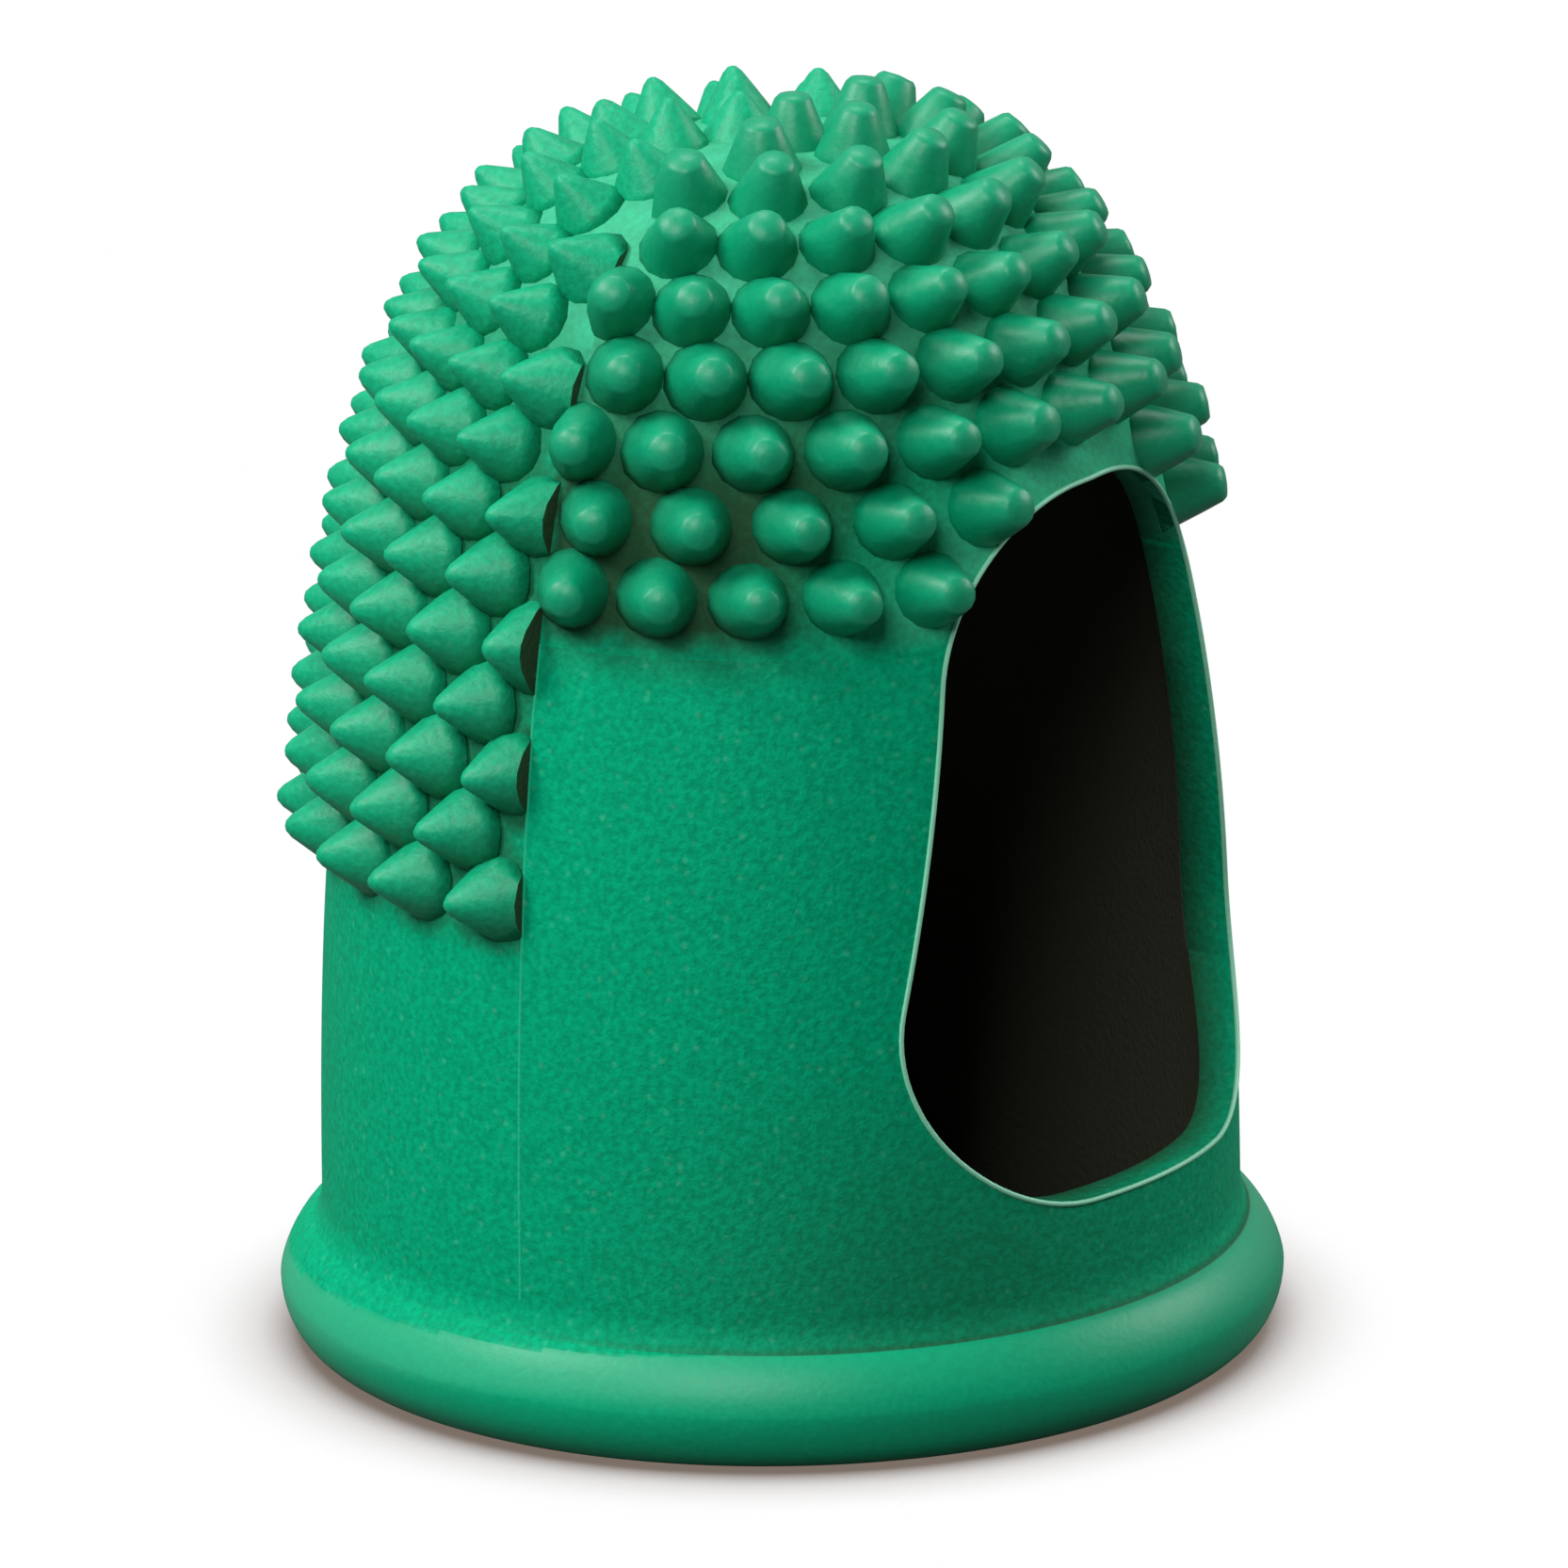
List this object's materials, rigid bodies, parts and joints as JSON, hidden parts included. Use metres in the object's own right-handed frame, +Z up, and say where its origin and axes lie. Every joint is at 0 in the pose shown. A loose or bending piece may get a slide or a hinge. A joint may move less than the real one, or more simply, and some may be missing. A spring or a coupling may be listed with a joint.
{
  "type": "rubber fingertip",
  "caption": "Hollow tapered rubber finger cap with a rolled rim, a rounded window over the nail and staggered rows of blunt nubs for turning paper.",
  "frame": {"origin": "middle of the rim's flat underside", "axes": "+Z up the cap's axis from the open mouth to the crown, -Y out through the middle of the nail window"},
  "size_m": [0.0234, 0.0234, 0.0296],
  "materials": {
    "green_rubber": "satin moulded rubber"
  },
  "bodies": {
    "root": {"rim_bead": "green_rubber", "sleeve_wall": "green_rubber", "nail_side_grip": "green_rubber", "pad_side_grip": "green_rubber"}
  },
  "joints": []
}
